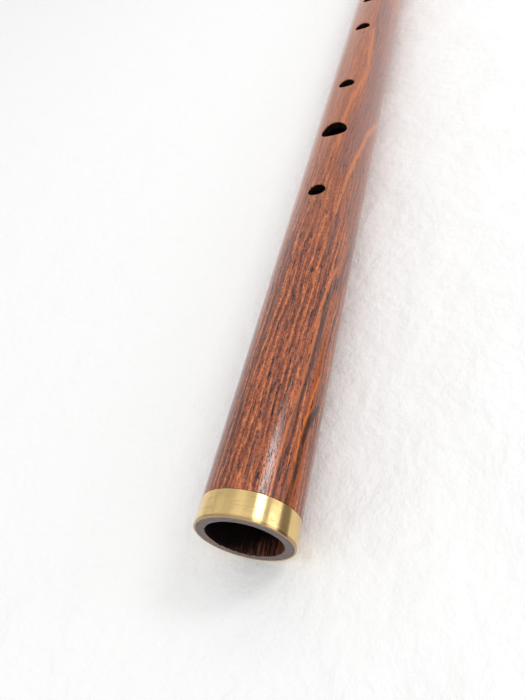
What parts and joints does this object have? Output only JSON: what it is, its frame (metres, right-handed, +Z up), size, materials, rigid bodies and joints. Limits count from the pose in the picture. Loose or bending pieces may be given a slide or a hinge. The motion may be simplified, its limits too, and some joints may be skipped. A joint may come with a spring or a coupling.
{
  "type": "native american flute",
  "caption": "End-blown wooden flute with a slow air chamber, finger holes and brass ferrules, and a carved bird block tied over its flue plate with a leather lace.",
  "frame": {"origin": "under the middle of the flute's length, on the surface that it lies on", "axes": "+X from the open foot to the mouthpiece, +Z up through the finger holes and the block, +Y to the left of someone who looks from the foot to the mouthpiece"},
  "size_m": [0.7466, 0.0302, 0.0465],
  "materials": {
    "rosewood": "glossy lacquered reddish-brown rosewood with orange bands, dark streaks and fine pores",
    "dark_rosewood": "glossy lacquered dark rosewood",
    "maple": "plain unfinished maple, inside the bore",
    "brass": "turned and brushed brass with fine scratches round it",
    "leather": "matte dark brown round leather cord"
  },
  "bodies": {
    "flute": {"body_tube": "rosewood", "foot_ferrule": "brass", "mouth_ferrule": "brass", "mouthpiece": "dark_rosewood", "chamber_plug": "maple", "flue_plate": "brass"},
    "tied_block": {"block": "rosewood", "lace": "leather"}
  },
  "joints": [
    {"name": "block_slide", "type": "slide", "parent": "flute", "child": "tied_block", "axis": [1, 0, 0], "range_m": [-0.005, 0.006]}
  ]
}
